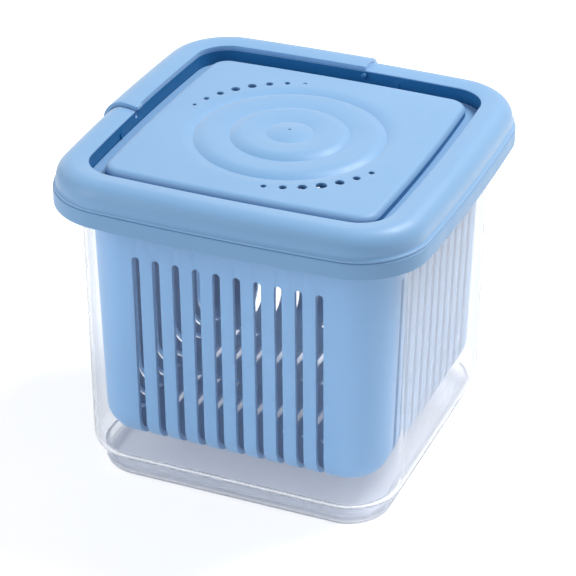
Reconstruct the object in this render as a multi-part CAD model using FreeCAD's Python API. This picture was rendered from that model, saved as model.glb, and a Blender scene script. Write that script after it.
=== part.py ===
import FreeCAD, Part
import math
import os
from FreeCAD import Vector

# Produce keeper: a clear tub, a slotted basket hanging in it, and a two-piece lid with a folding corner handle.
# Millimetres. The origin is the middle of the tub's foot, front is -Y, up is +Z.

# Plan shape: a square with rounded corners. The lid's sides are slightly bowed, the walls below it are straight.
# The corner radii hold at the lid's outline, and each parallel outline inside it loses as much as it moves in.
lid_half = 100.0
lid_corner = 36.5
vessel_corner = 43.0
side_bow_radius = 1400.0

# Clearances
rest_gap = 0.3
pin_gap = 0.05
nest_gap = 0.6
rim_play = 1.3
side_gap = 3.6

# Heights of the tub
foot_height = 12.5
tub_height = 162.9
tub_wall = 1.9
tub_floor = 2.2

# Tub outline
tub_rim_reach = 9.8
tub_rim_thickness = 2.0
tub_draft = 1.2
shoulder_step = 5.4
shoulder_round = 6.5
foot_draft = 0.5
foot_round = 5.0
crease_rise_share = 0.4
foot_round_share = 0.5

# Basket
basket_draft = 3.1
basket_bottom = 23.0
basket_wall = 2.6
basket_floor = 2.6
basket_edge_round = 15.0
band_proud = 0.5
band_wall = 2.4
band_height = 8.7

# Slots of the basket
slot_pitch = 10.96
slot_width = 4.1
slot_corner_land = 32.0
slot_head_land = 28.3
slot_reach_in = 14.0
floor_slot_land = 16.4
floor_slot_gap = 12.0

# Lid ring
ring_width = 18.0
ring_height = 13.4
ring_inner_drop = 1.2
ring_crest = 10.0
crown_fall_share = 0.3
ring_lip_height = 1.0
ring_lip_round = 2.0
ring_lip_depth = 1.2
flare_in_share = 0.75
flare_up_share = 0.4
ring_wall = 2.0
ledge_thickness = 2.2
plug_depth = 8.0
plug_wall = 2.0

# Nibs that hold the panel down in the ring
nib_offset = 28.0
nib_width = 2.4
nib_reach = 1.2
nib_height = 4.2
nib_nose = 0.6
nib_top_reach = 0.2

# Lid panel
groove_width = 8.0
panel_rise = 6.1
panel_thickness = 2.2
panel_edge_round = 3.8

# Ripples pressed into the panel
ripple_land = 18.0
ripple_lead = 6.6
ripple_pitch = 18.65
ripple_middle = 10.0
ripple_depth = 1.1
ripple_crown = 0.1
ripple_crown_share = 0.33
middle_sink = 0.2
lead_in_share = 0.32
dome_out_share = 0.6
dome_up_share = 0.62
gate_mark_diameter = 1.5
gate_mark_depth = 0.7

# Vent holes on two arcs of the panel
vent_land = 4.0
vent_pitch = 9.53
vent_taper = 0.87
front_vent_count = 7
front_vent_middle = -52.5
front_vent_widest = 5.8
back_vent_count = 8
back_vent_middle = 136.5
back_vent_widest = 5.35
blind_vent_depth = 0.5

# Corner handle
handle_end = 10.0
handle_top = 2.0
handle_side = 1.8
handle_edge_round = 0.5
hinge_drop = 2.7
ball_radius = 1.7
ear_thickness = 1.0
ear_width = 5.0
ear_setback = 0.2
arm_thickness = 1.7

# Half sizes that follow from the lid's, from the outside inwards
band_half = lid_half + band_proud
tub_rim_half = band_half - band_wall - rim_play
tub_half = tub_rim_half - tub_rim_reach
tub_half_low = tub_half - tub_draft
foot_half = tub_half_low - shoulder_step
basket_half = tub_half - tub_wall - side_gap
basket_half_low = basket_half - basket_draft
plug_half = basket_half - basket_wall - nest_gap
ring_inner_half = lid_half - ring_width
panel_half = ring_inner_half - groove_width
ripple_edge = panel_half - ripple_land
vent_radius = ripple_edge + vent_land

# Heights that follow from the seats
band_top = tub_height + band_wall
slot_top = band_top - slot_head_land
ring_seat = band_top + rest_gap
ring_top = ring_seat + ring_height
ring_inner_top = ring_top - ring_inner_drop
flange_bottom = ring_seat + ledge_thickness
flange_top = flange_bottom + panel_thickness
panel_top = flange_top + panel_rise
overlap = 1.0
level_tolerance = 0.001


def straight_wire(half, z):
    """Closed outline of the tub and the basket at one height, from the middle of the right side."""
    corner = vessel_corner - (lid_half - half)
    knee = half - corner
    bend = knee + corner * math.sqrt(0.5)
    touch = Vector(half, knee, z)
    edges = []
    for turn in range(4):
        first = Part.LineSegment(Vector(half, 0, z), touch).toShape()
        corner_edge = Part.Arc(touch, Vector(bend, bend, z), Vector(knee, half, z)).toShape()
        last = Part.LineSegment(Vector(knee, half, z), Vector(0, half, z)).toShape()
        for piece in (first, corner_edge, last):
            piece.rotate(Vector(0, 0, 0), Vector(0, 0, 1), 90 * turn)
            edges.append(piece)
    return Part.Wire(edges)


def bowed_wire(half, z):
    """Closed outline of the lid at one height, from the middle of the right side."""
    corner = lid_corner - (lid_half - half)
    reach = side_bow_radius - (lid_half - half)
    centre = reach - half
    knee = (math.sqrt(2.0 * (reach - corner) ** 2 - centre ** 2) - centre) / 2.0
    length = math.hypot(knee + centre, knee)
    touch = Vector(-centre + reach * (knee + centre) / length, reach * knee / length, z)
    start = Vector(half, 0, z)
    lean = math.asin(touch.y / reach) / 2.0
    on_side = Vector(-centre + reach * math.cos(lean), reach * math.sin(lean), z)
    bend = knee + corner * math.sqrt(0.5)
    round_end = Vector(touch.y, touch.x, z)
    edges = []
    for turn in range(4):
        first = Part.Arc(start, on_side, touch).toShape()
        corner_edge = Part.Arc(touch, Vector(bend, bend, z), round_end).toShape()
        last = Part.Arc(round_end, Vector(on_side.y, on_side.x, z), Vector(0, half, z)).toShape()
        for piece in (first, corner_edge, last):
            piece.rotate(Vector(0, 0, 0), Vector(0, 0, 1), 90 * turn)
            edges.append(piece)
    return Part.Wire(edges)


def lid_block(half, z_low, z_high):
    """Straight-sided block with the plan of the lid."""
    return Part.Face(bowed_wire(half, z_low)).extrude(Vector(0, 0, z_high - z_low))


def vessel_block(half, z_low, z_high):
    """Straight-sided block with the plan of the tub and the basket."""
    return Part.Face(straight_wire(half, z_low)).extrude(Vector(0, 0, z_high - z_low))


def line(a, b):
    return Part.LineSegment(section_point(a), section_point(b)).toShape()


def arc(a, through, b):
    return Part.Arc(section_point(a), section_point(through), section_point(b)).toShape()


def section_point(uz):
    """A point of a wall's cross-section on the right-hand side, u measured inwards from the lid's outline."""
    return Vector(lid_half - uz[0], 0, uz[1])


def quarter(a, b):
    """Round that leaves a upright and reaches b level."""
    share = math.sqrt(0.5)
    through = (b[0] + (a[0] - b[0]) * share, a[1] + (b[1] - a[1]) * share)
    return arc(a, through, b)


def sweep(edges, outline=bowed_wire):
    """Carry a closed cross-section all the way round the plan."""
    section = Part.Wire(Part.__sortEdges__(edges))
    solid = outline(lid_half, 0).makePipeShell([section], True, False)
    if solid.Volume < 0:
        solid.reverse()
    return solid


def inset(half):
    """Distance inwards from the lid's outline of a wall with this half size."""
    return lid_half - half


def tub_shell_section(shift, floor_z):
    """Outer or inner skin of the tub from its rim down to the floor, as edges and its two end points."""
    top = (inset(tub_half) + shift, tub_height)
    low = (inset(tub_half_low) + shift, foot_height + shoulder_round)
    crease = (inset(foot_half) + shift, foot_height + shift * crease_rise_share)
    corner_round = foot_round - shift * foot_round_share
    foot_low = (inset(foot_half - foot_draft) + shift, floor_z + corner_round)
    floor_start = (foot_low[0] + corner_round, floor_z)
    edges = [line(top, low)]
    edges.append(quarter(low, crease))
    edges.append(line(crease, foot_low))
    edges.append(quarter(foot_low, floor_start))
    return edges, top, floor_start


def make_tub():
    """Thin clear tub with a shoulder, a smaller foot and an out-turned rim."""
    outer, outer_top, outer_floor = tub_shell_section(0.0, 0.0)
    inner, inner_top, inner_floor = tub_shell_section(tub_wall, tub_floor)
    floor_end = inner_floor[0] + overlap
    edges = list(outer)
    edges.append(line(outer_floor, (floor_end, 0.0)))
    edges.append(line((floor_end, 0.0), (floor_end, tub_floor)))
    edges.append(line((floor_end, tub_floor), inner_floor))
    edges += list(inner)
    edges.append(line(inner_top, outer_top))
    wall = sweep(edges, straight_wire)
    floor = vessel_block(lid_half - floor_end + overlap, 0.0, tub_floor)
    rim_low = tub_height - tub_rim_thickness
    rim = vessel_block(tub_rim_half, rim_low, tub_height)
    rim = rim.cut(vessel_block(tub_half - tub_wall / 2.0, rim_low - overlap, tub_height + overlap))
    return wall.fuse([floor, rim]).removeSplitter()


def top_edges(block, z):
    """The level edges of a block at one height."""
    found = []
    for edge in block.Edges:
        box = edge.BoundBox
        if max(abs(box.ZMin - z), abs(box.ZMax - z)) < level_tolerance:
            found.append(edge)
    return found


def basket_section():
    """Cross-section of the basket: wall, rounded bottom edge and the start of the floor."""
    base = basket_bottom
    out_top = (inset(basket_half), band_top - band_wall / 2.0)
    out_low = (inset(basket_half_low), base + basket_edge_round)
    floor_start = (out_low[0] + basket_edge_round, base)
    floor_end = floor_start[0] + overlap
    in_top = (out_top[0] + basket_wall, out_top[1])
    in_low = (out_low[0] + basket_wall, out_low[1])
    in_floor = (floor_start[0], base + basket_floor)
    edges = [line(out_top, out_low)]
    edges.append(quarter(out_low, floor_start))
    edges.append(line(floor_start, (floor_end, base)))
    edges.append(line((floor_end, base), (floor_end, base + basket_floor)))
    edges.append(line((floor_end, base + basket_floor), in_floor))
    edges.append(quarter(in_low, in_floor))
    edges.append(line(in_low, in_top))
    edges.append(line(in_top, out_top))
    return edges, lid_half - floor_end


def slot_cutter(x):
    """One slot of the front wall, which runs down the wall and on under the bottom edge."""
    radius = slot_width / 2.0
    outside = -(basket_half + overlap * 3)
    wall_inside = -(basket_half_low - basket_wall - overlap * 2)
    floor_inside = -(basket_half_low - slot_reach_in)
    round_top = basket_bottom + basket_edge_round + overlap * 4
    below = basket_bottom - overlap * 2
    depth = wall_inside - outside
    leg = Part.makeBox(slot_width, depth, slot_top - radius - below, Vector(x - radius, outside, below))
    cap = Part.makeCylinder(radius, depth, Vector(x, outside, slot_top - radius), Vector(0, 1, 0))
    under_size = floor_inside - outside
    under = Part.makeBox(slot_width, under_size, round_top - below, Vector(x - radius, outside, below))
    end = Part.makeCylinder(radius, round_top - below, Vector(x, floor_inside, below))
    return leg.fuse([cap, under, end]).removeSplitter()


def slot_positions():
    """As many slots as the wall holds between its corners."""
    field = 2.0 * (basket_half - slot_corner_land)
    steps = math.floor(field / slot_pitch)
    first = -slot_pitch * steps / 2.0
    return [first + slot_pitch * k for k in range(steps + 1)]


def side_slots():
    cutters = []
    for x in slot_positions():
        slot = slot_cutter(x)
        for turn in range(4):
            copy = slot.copy()
            copy.rotate(Vector(0, 0, 0), Vector(0, 0, 1), 90 * turn)
            cutters.append(copy)
    return cutters


def floor_slots():
    """Two rows of drain slots in the middle of the basket's floor."""
    radius = slot_width / 2.0
    low = basket_bottom - overlap
    high = basket_floor + 2 * overlap
    reach = basket_half_low - slot_reach_in - floor_slot_land - slot_width
    cutters = []
    for x in slot_positions():
        for side in (-1, 1):
            near = side * (floor_slot_gap / 2.0 + radius)
            far = side * reach
            start = min(near, far)
            bar = Part.makeBox(slot_width, abs(far - near), high, Vector(x - radius, start, low))
            ends = [Part.makeCylinder(radius, high, Vector(x, y, low)) for y in (near, far)]
            cutters.append(bar.fuse(ends))
    return cutters


def make_basket():
    """Slotted basket whose rim band hangs over the rim of the tub."""
    edges, floor_half = basket_section()
    wall = sweep(edges, straight_wire)
    floor = vessel_block(floor_half + overlap / 2.0, basket_bottom, basket_bottom + basket_floor)
    band_low = band_top - band_height
    band = lid_block(band_half, band_low, band_top)
    band = band.cut(lid_block(band_half - band_wall, band_low - overlap, tub_height))
    mouth = vessel_block(basket_half - basket_wall / 2.0, tub_height - overlap, band_top + overlap)
    shell = wall.fuse([floor, band.cut(mouth)])
    return shell.cut(side_slots() + floor_slots()).removeSplitter()


def crown_points(grow):
    """Points of the ring's crown: foot of the lip, top of the lip, start of the crown, crest, inner edge."""
    lip = (-grow, ring_seat + ring_lip_height)
    start = (ring_lip_depth - grow, lip[1] + ring_lip_round)
    crest = (ring_crest, ring_top + grow)
    inner = (ring_width, ring_inner_top + grow)
    return lip, start, crest, inner


def crown_edges(start, crest, inner):
    """Round from the side up to the crest, then a gentle fall to the inner edge."""
    fall = ((crest[0] + inner[0]) / 2.0, crest[1] - (crest[1] - inner[1]) * crown_fall_share)
    return [quarter(start, crest), arc(crest, fall, inner)]


def ring_outer_section():
    """Outer skin of the ring from its seat over the crown down to the plug, closed along the seat."""
    lip, start, crest, inner = crown_points(0.0)
    foot = (0.0, ring_seat)
    flare = (ring_lip_depth * flare_in_share, lip[1] + ring_lip_round * flare_up_share)
    bottom = (ring_width, ring_seat)
    edges = [line(foot, lip), arc(lip, flare, start)]
    edges += crown_edges(start, crest, inner)
    edges.append(line(inner, bottom))
    edges.append(line(bottom, foot))
    return edges


def ring_hollow_section():
    """Space inside the ring, open downwards."""
    start = (ring_lip_depth + ring_wall, ring_seat + ring_lip_height + ring_lip_round)
    low = (start[0], ring_seat - overlap)
    crest = (ring_crest, ring_top - ring_wall)
    inner = (ring_width - ring_wall, ring_inner_top - ring_wall)
    end = (inner[0], ring_seat - overlap)
    edges = [line(low, start)]
    edges += crown_edges(start, crest, inner)
    edges.append(line(inner, end))
    edges.append(line(end, low))
    return edges


def hinge_balls(radius):
    """Balls at both ends of the slanting hinge line, each half way through an ear of the handle."""
    step = rest_gap + ear_thickness / 2.0
    x = -ring_inner_half + step
    y = -handle_end + step
    height = ring_inner_top - hinge_drop
    return [Part.makeSphere(radius, Vector(x, y, height)), Part.makeSphere(radius, Vector(-y, -x, height))]


def both_ends(shape):
    """The shape at the left end of the handle and its mirror image at the back end."""
    return [shape, shape.mirror(Vector(0, 0, 0), Vector(1, 1, 0))]


def make_nib():
    """Small wedge on the ring's inner wall, above the panel's flange."""
    low = flange_top + rest_gap
    face = -ring_inner_half
    nose = face + nib_reach
    back = face - overlap
    y = -nib_offset - nib_width / 2.0
    points = [Vector(back, y, low), Vector(nose, y, low + nib_nose)]
    points.append(Vector(nose, y, low + nib_reach))
    points.append(Vector(face + nib_top_reach, y, low + nib_height))
    points.append(Vector(back, y, low + nib_height))
    points.append(points[0])
    return Part.Face(Part.makePolygon(points)).extrude(Vector(0, nib_width, 0))


def nibs():
    pair = both_ends(make_nib())
    found = []
    for nib in pair:
        opposite = nib.copy()
        opposite.rotate(Vector(0, 0, 0), Vector(0, 0, 1), 180)
        found += [nib, opposite]
    return found


def make_lid_ring():
    """Hollow collar of the lid with the ledge, the plug, four nibs and the sockets of the handle's balls."""
    body = sweep(ring_outer_section())
    hollow = body.cut(sweep(ring_hollow_section()))
    ledge = lid_block(ring_inner_half + ring_wall / 2.0, ring_seat, flange_bottom)
    plug = vessel_block(plug_half, ring_seat - plug_depth, ring_seat + overlap)
    frame = ledge.fuse(plug)
    frame = frame.cut(vessel_block(plug_half - plug_wall, ring_seat - plug_depth - overlap, ring_top))
    ring = hollow.fuse([frame] + nibs()).removeSplitter()
    for socket in hinge_balls(ball_radius + pin_gap):
        ring = ring.cut(socket)
    return ring


def bump(outer, inner, z):
    """Two arcs over one ripple, level at the crown, which lies nearer to the outer crease."""
    crown = outer - (outer - inner) * ripple_crown_share
    peak = z + ripple_crown
    floor = z - ripple_depth
    edges = []
    for end in (outer, inner):
        run = abs(end - crown)
        drop = peak - floor
        radius = (run ** 2 + drop ** 2) / (2.0 * drop)
        half_way = crown + (end - crown) / 2.0
        height = peak - radius + math.sqrt(radius ** 2 - (run / 2.0) ** 2)
        points = (Vector(end, 0, floor), Vector(half_way, 0, height), Vector(crown, 0, peak))
        edges.append(Part.Arc(*points).toShape())
    return edges


def crease_radii():
    """Radii of the sharp valleys between the ripples, from the edge inwards."""
    radii = [ripple_edge - ripple_lead]
    while radii[-1] - ripple_pitch > ripple_middle:
        radii.append(radii[-1] - ripple_pitch)
    return radii


def ripple_edges(z):
    """Cross-section of the rippled disc's skin from its rim to the middle."""
    creases = crease_radii()
    first = creases[0]
    last = creases[-1]
    floor = z - ripple_depth
    way_in = Vector((ripple_edge + first) / 2.0, 0, z - ripple_depth * lead_in_share)
    edges = [Part.Arc(Vector(ripple_edge, 0, z), way_in, Vector(first, 0, floor)).toShape()]
    for outer, inner in zip(creases, creases[1:]):
        edges += bump(outer, inner, z)
    dome = Vector(last * dome_out_share, 0, floor + ripple_depth * dome_up_share)
    edges.append(Part.Arc(Vector(last, 0, floor), dome, Vector(0, 0, z - middle_sink)).toShape())
    return edges


def ripple_disc():
    """Disc with the ripples on both faces, so that its wall stays even."""
    top = ripple_edges(panel_top)
    under = [edge.translated(Vector(0, 0, -panel_thickness)) for edge in ripple_edges(panel_top)]
    rim_top = Vector(ripple_edge, 0, panel_top)
    rim = Part.LineSegment(rim_top, rim_top - Vector(0, 0, panel_thickness)).toShape()
    middle_top = Vector(0, 0, panel_top - middle_sink)
    axis = Part.LineSegment(middle_top, middle_top - Vector(0, 0, panel_thickness)).toShape()
    section = Part.Wire(Part.__sortEdges__(top + under + [rim, axis]))
    return Part.Face(section).revolve(Vector(0, 0, 0), Vector(0, 0, 1), 360)


def vent_cutters(count, middle, widest, blind_last):
    """Holes along an arc, widest in the middle of the row."""
    cutters = []
    half_way = (count - 1) / 2.0
    for k in range(count):
        angle = math.radians(middle) + (half_way - k) * vent_pitch / vent_radius
        radius = (widest - vent_taper * abs(k - half_way)) / 2.0
        low = panel_top - panel_thickness - overlap
        if blind_last and k == count - 1:
            low = panel_top - blind_vent_depth
        place = Vector(vent_radius * math.cos(angle), vent_radius * math.sin(angle), low)
        cutters.append(Part.makeCylinder(radius, panel_top + overlap - low, place))
    return cutters


def make_lid_panel():
    """Raised panel with ripples, vents and the flange that is the floor of the groove."""
    block = lid_block(panel_half, flange_bottom, panel_top)
    block = block.makeFillet(panel_edge_round, top_edges(block, panel_top))
    inner_top = panel_top - panel_thickness
    space = lid_block(panel_half - panel_thickness, flange_bottom - overlap, inner_top)
    space = space.makeFillet(panel_edge_round - panel_thickness, top_edges(space, inner_top))
    flange = lid_block(ring_inner_half - rest_gap, flange_bottom, flange_top)
    pan = block.fuse(flange).cut(space)
    hole = Part.makeCylinder(ripple_edge, panel_top, Vector(0, 0, flange_bottom))
    panel = pan.cut(hole).fuse(ripple_disc())
    cutters = vent_cutters(front_vent_count, front_vent_middle, front_vent_widest, False)
    cutters += vent_cutters(back_vent_count, back_vent_middle, back_vent_widest, True)
    mark_low = panel_top - middle_sink - gate_mark_depth
    cutters.append(Part.makeCylinder(gate_mark_diameter / 2.0, panel_thickness, Vector(0, 0, mark_low)))
    return panel.cut(cutters).removeSplitter()


def handle_section():
    """Cross-section of the handle: it lies over the crown and hangs down outside."""
    under = crown_points(rest_gap)
    over = crown_points(rest_gap + handle_top)
    outside_start = (under[1][0] - handle_side, over[1][1])
    edges = crown_edges(under[1], under[2], under[3])
    edges.append(line(under[1], outside_start))
    edges += crown_edges(outside_start, over[2], over[3])
    edges.append(line(over[3], under[3]))
    return edges


def handle_zone():
    """Block that holds the corner between the two ends of the handle."""
    size = lid_half + handle_end
    height = ring_height + 2 * handle_end
    return Part.makeBox(size + handle_end, size + handle_end, height, Vector(-size, -handle_end, ring_seat))


def handle_hinge():
    """Ear and arm at the left end of the handle: the ear hangs flat before the ring's inner wall."""
    axis_height = ring_inner_top - hinge_drop
    top = ring_inner_top + rest_gap + handle_top
    near = -ring_inner_half + rest_gap
    front = -handle_end + ear_setback
    ear = Part.makeBox(ear_thickness, ear_width, top - axis_height, Vector(near, front, axis_height))
    arm_start = -ring_inner_half - overlap
    arm_length = near + ear_thickness - arm_start
    arm = Part.makeBox(arm_length, ear_width, arm_thickness, Vector(arm_start, front, top - arm_thickness))
    return ear.fuse(arm)


def make_corner_handle():
    """Folding handle over the back left corner, hinged at both ends on one slanting line."""
    around = sweep(handle_section())
    cap = around.common(handle_zone())
    ends = [edge for edge in cap.Edges if min(edge.BoundBox.XLength, edge.BoundBox.YLength) < level_tolerance]
    ends = [edge for edge in ends if edge.BoundBox.ZLength > level_tolerance or edge.Length < 2 * handle_side]
    cap = cap.makeFillet(handle_edge_round, ends)
    cap = cap.fuse(both_ends(handle_hinge())).removeSplitter()
    for ball in hinge_balls(ball_radius):
        cap = cap.fuse(ball)
    return cap


def save(name, shape):
    solids = shape.Solids
    box = shape.BoundBox
    size = "%.1f x %.1f x %.1f" % (box.XLength, box.YLength, box.ZLength)
    print(name, "solids", len(solids), "valid", shape.isValid(), "volume", round(shape.Volume), size)
    if len(solids) == 1:
        shape = solids[0]
    shape.exportStep("parts/" + name + ".step")


os.makedirs("parts", exist_ok=True)
save("tub", make_tub())
save("basket", make_basket())
save("lid_ring", make_lid_ring())
save("lid_panel", make_lid_panel())
save("corner_handle", make_corner_handle())
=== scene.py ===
import math

import bmesh
import bpy
import numpy as np
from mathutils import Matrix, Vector


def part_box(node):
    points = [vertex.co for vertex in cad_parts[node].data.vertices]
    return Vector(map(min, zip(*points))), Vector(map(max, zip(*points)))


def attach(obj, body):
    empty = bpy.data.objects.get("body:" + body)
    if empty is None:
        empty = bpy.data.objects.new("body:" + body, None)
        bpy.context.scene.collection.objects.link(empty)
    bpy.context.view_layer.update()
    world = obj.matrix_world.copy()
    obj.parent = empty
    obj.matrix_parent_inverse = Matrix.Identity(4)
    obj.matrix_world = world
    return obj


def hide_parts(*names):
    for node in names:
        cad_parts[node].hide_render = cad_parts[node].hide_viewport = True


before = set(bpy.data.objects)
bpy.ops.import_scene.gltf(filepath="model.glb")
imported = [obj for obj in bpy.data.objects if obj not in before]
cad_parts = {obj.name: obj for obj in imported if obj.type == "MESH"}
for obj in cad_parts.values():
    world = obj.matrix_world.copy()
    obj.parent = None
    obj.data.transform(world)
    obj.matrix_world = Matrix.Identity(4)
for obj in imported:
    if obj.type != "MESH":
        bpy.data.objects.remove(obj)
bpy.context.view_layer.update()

# A square produce keeper: clear tub, slotted basket, lid ring, rippled panel and folding corner handle.
# Sizes are in millimetres, the front looks along -Y, and mm turns them into metres.
mm = 0.001
halfRoot = math.sqrt(0.5)
print("frame loaded:", sorted(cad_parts))

plan = {
    "lidHalf": 100.0,  # centre line to the middle of the lid's side
    "bowRadius": 1400.0,  # the lid's sides are arcs this large
    "lidCorner": 36.5,
    "vesselCorner": 43.0,  # tub and basket, taken at the lid's outline
    "sideSteps": 18,
    "cornerSteps": 28,
    "middleRows": (0.0, 0.5, 0.97),  # how far out the rows lie that close a floor
}


def bowKnee(corner, bowRadius):
    # where a bowed side meets its round corner: the corner's centre, and how far the side leans there
    back = bowRadius - plan["lidHalf"]
    knee = (math.sqrt(2.0 * (bowRadius - corner) ** 2 - back ** 2) - back) / 2.0
    return knee, math.atan2(knee, knee + back)


def outline(place, corner, bowRadius=None):
    # Points and outward normals round a square with round corners, whole arrays at once.
    # place runs from 0 to 4: in each unit the first half is a side, straight or an arc of the bow
    # radius, and the second half is the round corner, an arc about the point (knee, knee).
    half = plan["lidHalf"]
    quarter = np.floor(place + 1e-9)
    part = place - quarter
    side = 4.0 * part - 1.0
    turn = 2.0 * part - 1.0
    if bowRadius is None:
        knee, lean = half - corner, 0.0
        sideAngle = np.zeros_like(part)
        sideX, sideY = np.full_like(part, half), knee * side
    else:
        knee, lean = bowKnee(corner, bowRadius)
        sideAngle = lean * side
        sideX = bowRadius * np.cos(sideAngle) - (bowRadius - half)
        sideY = bowRadius * np.sin(sideAngle)
    angle = np.where(part < 0.5, sideAngle, lean + turn * (math.pi / 2.0 - 2.0 * lean))
    x = np.where(part < 0.5, sideX, knee + corner * np.cos(angle))
    y = np.where(part < 0.5, sideY, knee + corner * np.sin(angle))
    c, s = np.cos(quarter * math.pi / 2.0), np.sin(quarter * math.pi / 2.0)
    nx, ny = np.cos(angle), np.sin(angle)
    return np.stack([x * c - y * s, x * s + y * c], 1), np.stack([nx * c - ny * s, nx * s + ny * c], 1)


def wholeWay():
    # places all the way round, evenly spaced on each side and in each corner
    side = 0.5 * np.arange(plan["sideSteps"]) / plan["sideSteps"]
    corner = 0.5 + 0.5 * np.arange(plan["cornerSteps"]) / plan["cornerSteps"]
    return (np.arange(4)[:, None] + np.concatenate([side, corner])).ravel()


def carried(section, place, bow=1.0, spread=1.0):
    # Carries a cross-section round the plan: point = (outline - inset * normal) * spread, height unchanged.
    # section holds insets from the lid's outline and heights, bow is 1 on the lid's bowed outline and 0
    # on the straight one below it, and spread under 1 draws a row in towards the middle.
    rows = len(section)
    inset = section[:, 0][:, None, None]
    bow = np.broadcast_to(bow, rows)[:, None, None]
    spread = np.broadcast_to(spread, rows)[:, None, None]
    lid, lidNormal = outline(place, plan["lidCorner"], plan["bowRadius"])
    vessel, vesselNormal = outline(place, plan["vesselCorner"])
    flat = bow * (lid - inset * lidNormal) + (1.0 - bow) * (vessel - inset * vesselNormal)
    height = np.broadcast_to(section[:, 1][:, None, None], (rows, len(place), 1))
    return np.concatenate([flat * spread, height], 2)


def discRows(profile, place):
    # Rows of a disc: the same directions as the plan's points, at each radius and height of the profile.
    lid = outline(place, plan["lidCorner"], plan["bowRadius"])[0]
    direction = lid / np.linalg.norm(lid, axis=1)[:, None]
    flat = profile[:, 0][:, None, None] * direction
    height = np.broadcast_to(profile[:, 1][:, None, None], (len(profile), len(place), 1))
    return np.concatenate([flat, height], 2)


def closedSkin(path, bow):
    # the section carried all the way round, and both its ends drawn in to the middle
    middle = np.array(plan["middleRows"])
    rows = len(middle)
    section = np.pad(path, ((rows, rows), (0, 0)), mode="edge")
    spread = np.concatenate([middle, np.ones(len(path)), middle[::-1]])
    return grid(carried(section, wholeWay(), np.pad(bow, rows), spread))


def bridge(first, last, steps):
    # rows between two rows, which lie on straight lines from one to the other
    share = (np.arange(1, steps) / steps)[:, None, None]
    return first * (1.0 - share) + last * share


def grid(rows, loopRows=False, loopColumns=True):
    # quads between neighbouring rows and columns, as index arithmetic on the whole grid
    count, width = rows.shape[:2]
    here = np.arange(count * width).reshape(count, width)
    across = np.roll(here, -1, 1)
    quads = np.stack([here, across, np.roll(across, -1, 0), np.roll(here, -1, 0)], -1)
    quads = quads if loopRows else quads[:-1]
    quads = quads if loopColumns else quads[:, :-1]
    return rows.reshape(-1, 3), quads.reshape(-1, 4).tolist()


def prism(loop, along):
    # closed outline of points pushed along one vector, with a face at each end
    count = len(loop)
    here = np.arange(count)
    ahead = np.roll(here, -1)
    walls = np.stack([here, ahead, ahead + count, here + count], -1).tolist()
    ends = [here[::-1].tolist(), (here + count).tolist()]
    return np.concatenate([loop, loop + np.array(along)]), walls + ends


def rod(start, length, radius, sides):
    # upright cylinder: circle = start + radius * (cos, sin)
    angle = np.arange(sides) * math.tau / sides
    circle = radius * np.stack([np.cos(angle), np.sin(angle), np.zeros(sides)], 1)
    return prism(np.array(start) + circle, (0.0, 0.0, length))


def ball(centre, radius, sides=48):
    # sphere = centre + radius * (cos u * cos v, sin u * cos v, sin v), v from pole to pole
    u = np.arange(sides) * math.tau / sides
    v = np.linspace(-math.pi / 2.0, math.pi / 2.0, sides // 2 + 1)[:, None]
    rows = np.stack([np.cos(u) * np.cos(v), np.sin(u) * np.cos(v), np.sin(v) + 0.0 * u], 2)
    return grid(np.array(centre) + radius * rows)


def block(low, high):
    # box between two corners
    x, y = (low[0], high[0]), (low[1], high[1])
    loop = np.array([(x[0], y[0], low[2]), (x[1], y[0], low[2]), (x[1], y[1], low[2]), (x[0], y[1], low[2])])
    return prism(loop, (0.0, 0.0, high[2] - low[2]))


def turned(points, quarters):
    # the points turned about the upright axis by a number of right angles
    c, s = round(math.cos(quarters * math.pi / 2)), round(math.sin(quarters * math.pi / 2))
    return points @ np.array([[c, s, 0], [-s, c, 0], [0, 0, 1]], float)


def atBack(points):
    # mirror image across the handle's diagonal: the left end's parts at the back end
    return np.stack([-points[:, 1], -points[:, 0], points[:, 2]], 1)


def arcThrough(a, middle, b, steps):
    # points of the circle through three points of a cross-section, from a to b
    a, middle, b = (np.array(p, float) for p in (a, middle, b))
    right = np.array([middle @ middle - a @ a, b @ b - a @ a])
    centre = np.linalg.solve(2.0 * np.array([middle - a, b - a]), right)
    start, through, end = (math.atan2(p[1] - centre[1], p[0] - centre[0]) for p in (a, middle, b))
    whole = (end - start) % math.tau
    whole = whole if (through - start) % math.tau < whole else whole - math.tau
    angle = start + whole * np.arange(steps + 1) / steps
    return centre + np.linalg.norm(a - centre) * np.stack([np.cos(angle), np.sin(angle)], 1)


def quarterArc(a, b, steps):
    # round that leaves a upright and reaches b level
    middle = (b[0] + (a[0] - b[0]) * halfRoot, a[1] + (b[1] - a[1]) * halfRoot)
    return arcThrough(a, middle, b, steps)


def withSupport(path, reach=0.8):
    # two more points on every long straight run, so that its shading stays flat right up to its rounds
    runs = np.diff(path, axis=0)
    size = np.linalg.norm(runs, axis=1)
    found = [path[:1]]
    for k in range(len(runs)):
        if size[k] > 4.0 * reach:
            step = runs[k] / size[k] * reach
            found.append(np.array([path[k] + step, path[k + 1] - step]))
        found.append(path[k + 1:k + 2])
    return np.concatenate(found)


def newPiece(name, parts):
    # one mesh from several surfaces: poles closed, faces outwards, smooth but for its real edges
    points, faces, start = [], [], 0
    for partPoints, partFaces in parts:
        points.append(partPoints)
        faces += [[i + start for i in face] for face in partFaces]
        start += len(partPoints)
    mesh = bpy.data.meshes.new(name)
    mesh.from_pydata((np.concatenate(points) * mm).tolist(), [], faces)
    bm = bmesh.new()
    bm.from_mesh(mesh)
    bmesh.ops.remove_doubles(bm, verts=bm.verts, dist=1e-7)
    bmesh.ops.recalc_face_normals(bm, faces=bm.faces)
    bm.to_mesh(mesh)
    bm.free()
    piece = bpy.data.objects.new(name, mesh)
    bpy.context.scene.collection.objects.link(piece)
    smoothed(piece)
    return piece


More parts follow.
